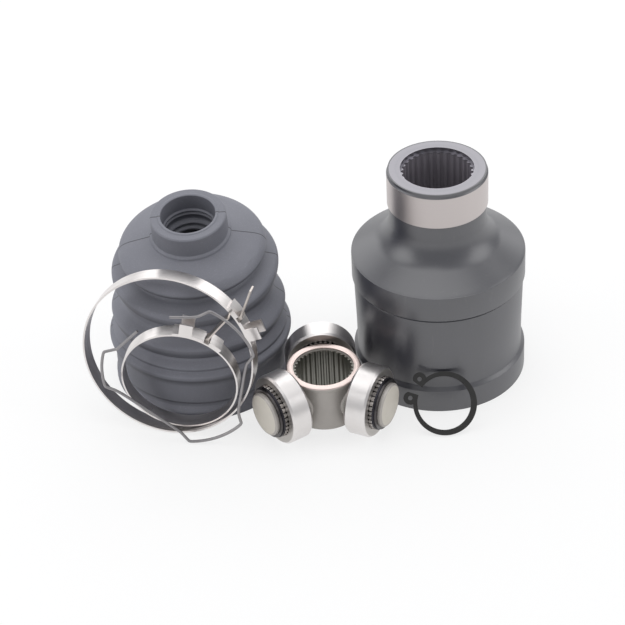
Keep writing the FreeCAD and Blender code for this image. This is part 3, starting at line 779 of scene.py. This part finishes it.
for number in ("1", "2", "3"):
    arm, reach = arm_of(number)

    steel = Finish("roller_ground_steel_" + number, Metallic=1.0)
    tree = steel.tree
    polar = steel.around(hub_middle, arm)
    film = use_group(tree, handled_film, Position=steel.place, Patch=120.0, Speck=1200.0)
    rings = use_group(tree, tool_rings, Place=polar["Along"], Position=steel.place,
                      Pitch=0.0002, Drift=0.3)
    side_rings = use_group(tree, tool_rings, Place=polar["Radius"], Position=steel.place,
                           Pitch=0.0003)
    running = steel.band(polar["Radius"], ROLLER_FACE_RADIUS, 20, 0.5)
    ground = blend_colours(tree, film["Patches"], paint(232, 229, 228), paint(220, 216, 214))
    turned = blend_colours(tree, side_rings["Tone"], paint(176, 172, 168), paint(192, 188, 184))
    ground_rough = blend_numbers(tree, film["Patches"], 0.28, 0.40)
    steel.set(Base_Color=blend_colours(tree, running, turned, ground),
              Roughness=blend_numbers(tree, running, 0.36, ground_rough))
    steel.bump(blend_numbers(tree, running, side_rings["Height"], rings["Height"]), 0.002)
    steel.cover(nodes["roller_" + number])

    needle = Finish("needle_polished_steel_" + number, Metallic=1.0)
    tree = needle.tree
    film = use_group(tree, handled_film, Position=needle.place, Patch=300.0, Speck=1500.0)
    polished = blend_colours(tree, film["Patches"], paint(205, 202, 200), paint(165, 160, 158))
    needle.set(Base_Color=polished, Roughness=blend_numbers(tree, film["Specks"], 0.16, 0.28))
    needle.bump(film["Specks"], 0.004)
    needle.cover(nodes["needle_set_" + number])

    retainer_finish("retainer_washer_oiled_" + number, "retainer_washer_" + number, arm,
                    metallic=0.9, patch=160.0, pitch=0.0003,
                    tones=(paint(44, 44, 50), paint(70, 68, 74)), roughness=(0.3, 0.5), depth=0.01)
    retainer_finish("snap_ring_spring_steel_" + number, "trunnion_snap_ring_" + number, arm,
                    metallic=1.0, patch=200.0, pitch=0.0002,
                    tones=(paint(66, 64, 66), paint(104, 100, 100)), roughness=(0.22, 0.38),
                    depth=0.008)
    print("roller", number, "runs", round(reach / MM, 1), "mm out along", [round(v, 2) for v in arm])

# %% [markdown]
# ## Clamps, wire and circlip
#
# The clamps are strips of bright stainless steel, rolled smooth, with fine lines along the
# strip. The wire is drawn and oiled, and the circlip is phosphated black. All three are thin,
# so their finish shows mostly in how sharply they reflect.

# %% Bright strip, drawn wire and phosphated spring steel
def strip_finish(name, node_names, tones, roughness):
    """Rolled strip, with its fine lines running along it."""
    finish = Finish(name, Metallic=1.0)
    tree = finish.tree
    film = use_group(tree, handled_film, Position=finish.place, Patch=70.0, Speck=1700.0)
    front = tree.nodes.new("ShaderNodeSeparateXYZ")
    put(tree, finish.place, front.inputs[0])
    rolled = use_group(tree, tool_rings, Place=front.outputs["Y"], Position=finish.place,
                       Pitch=0.0003, Drift=0.5)
    finish.set(Base_Color=blend_colours(tree, rolled["Tone"], *tones),
               Roughness=blend_numbers(tree, film["Patches"], *roughness))
    finish.bump(rolled["Height"], 0.004)
    for node_name in node_names:
        finish.cover(nodes[node_name])


strip_finish("clamp_bright_stainless", ["large_clamp_band", "small_clamp_band"],
             tones=(paint(236, 232, 230), paint(214, 209, 207)), roughness=(0.24, 0.36))
strip_finish("lever_stainless", ["large_clamp_lever", "small_clamp_lever"],
             tones=(paint(214, 206, 200), paint(182, 174, 168)), roughness=(0.26, 0.4))
filmed_steel("drawn_oiled_wire", wire, patch=120.0, speck=1500.0,
             tones=(paint(128, 126, 128), paint(168, 165, 166)), roughness=(0.28, 0.42),
             depth=0.01, Metallic=0.85)
filmed_steel("circlip_phosphate", nodes["shaft_circlip"], patch=180.0, speck=1400.0,
             tones=(paint(30, 30, 30), paint(46, 45, 44)), roughness=(0.38, 0.55),
             depth=0.02, IOR=1.5)
print("finishes made:", len([m for m in bpy.data.materials if m.users]))

# %% [markdown]
# ## The bench, the light and the camera
#
# The floor is white paper that also shines a little of its own white to the camera and in
# reflections, so it stays pure white without more light on the parts, and still keeps their
# shadows. A broad panel overhead gives the glints on rollers and clamps, a wide one behind
# lights the cone and the tops of the folds, and one on each side lifts the edges.

# %% White paper floor
deselect_all()
PAPER_HEIGHT = -0.05
bpy.ops.mesh.primitive_plane_add(size=8, location=(0, 0, PAPER_HEIGHT * MM))
floor = bpy.context.object
floor.name = "paper_floor"
paper = bpy.data.materials.new("white_paper")
paper.use_nodes = True
OWN_WHITE_SHARE = 0.74
tree = paper.node_tree
shader = tree.nodes["Principled BSDF"]
shader.inputs["Base Color"].default_value = (0.92, 0.92, 0.92, 1)
shader.inputs["Roughness"].default_value = 0.9
shader.inputs["Specular IOR Level"].default_value = 0.0
ray = tree.nodes.new("ShaderNodeLightPath")
seen = calc(tree, "MAXIMUM", ray.outputs["Is Camera Ray"], ray.outputs["Is Glossy Ray"])
seen = calc(tree, "MAXIMUM", seen, ray.outputs["Is Transmission Ray"])
own_white = tree.nodes.new("ShaderNodeEmission")
own_white.inputs["Strength"].default_value = 1.0
join = tree.nodes.new("ShaderNodeMixShader")
put(tree, calc(tree, "MULTIPLY", seen, OWN_WHITE_SHARE), join.inputs[0])
tree.links.new(shader.outputs[0], join.inputs[1])
tree.links.new(own_white.outputs[0], join.inputs[2])
tree.links.new(join.outputs[0], tree.nodes["Material Output"].inputs["Surface"])
floor.data.materials.append(paper)
print("floor at", round(floor.location.z / MM, 2), "mm")

# %% Soft light
ROOM_LIGHT = 0.5
world = bpy.data.worlds.new("studio_room")
bpy.context.scene.world = world
world.use_nodes = True
background = world.node_tree.nodes["Background"]
background.inputs["Color"].default_value = (0.97, 0.98, 1.0, 1)
background.inputs["Strength"].default_value = ROOM_LIGHT


def soft_panel(name, width, height, place, aim, radiance):
    """A light panel whose surface shines at the given level."""
    deselect_all()
    bpy.ops.object.light_add(type="AREA", location=place)
    panel = bpy.context.object
    panel.name = name
    panel.data.shape = "RECTANGLE"
    panel.data.size, panel.data.size_y = width, height
    panel.data.energy = radiance * math.pi * width * height
    panel.rotation_euler = (Vector(aim) - Vector(place)).to_track_quat("-Z", "Y").to_euler()
    return panel


kit_middle = (-0.055, -0.02, 0.04)
soft_panel("overhead_panel", 1.1, 1.1, (-0.1, -0.05, 1.15), kit_middle, 1.15)
soft_panel("back_panel", 3.2, 1.5, (-0.1, 1.35, 0.9), kit_middle, 1.2)
soft_panel("left_panel", 0.9, 0.9, (-1.15, -0.25, 0.6), kit_middle, 1.4)
soft_panel("right_panel", 0.9, 0.9, (1.1, -0.1, 0.65), kit_middle, 1.5)

# %% Camera
CAMERA_PLACE = (-0.05915, -0.9384, 0.7277)
LOOKS_DOWN_BY, ROLLS_BY = 36.6, 2.88
camera_data = bpy.data.cameras.new("bench_camera")
camera_data.lens = 144
camera_data.sensor_width = 36
camera = bpy.data.objects.new("bench_camera", camera_data)
bpy.context.scene.collection.objects.link(camera)
camera.matrix_world = (Matrix.Translation(CAMERA_PLACE)
                       @ Matrix.Rotation(math.radians(90 - LOOKS_DOWN_BY), 4, "X")
                       @ Matrix.Rotation(math.radians(-ROLLS_BY), 4, "Z"))
camera_data.clip_start, camera_data.clip_end = 0.05, 20
bpy.context.scene.camera = camera
bpy.context.scene.view_settings.view_transform = "Standard"
print("camera at", [round(v, 3) for v in camera.location])

# %% [markdown]
# ## Finish
#
# At the end nothing is left selected.

# %% Finish
deselect_all()
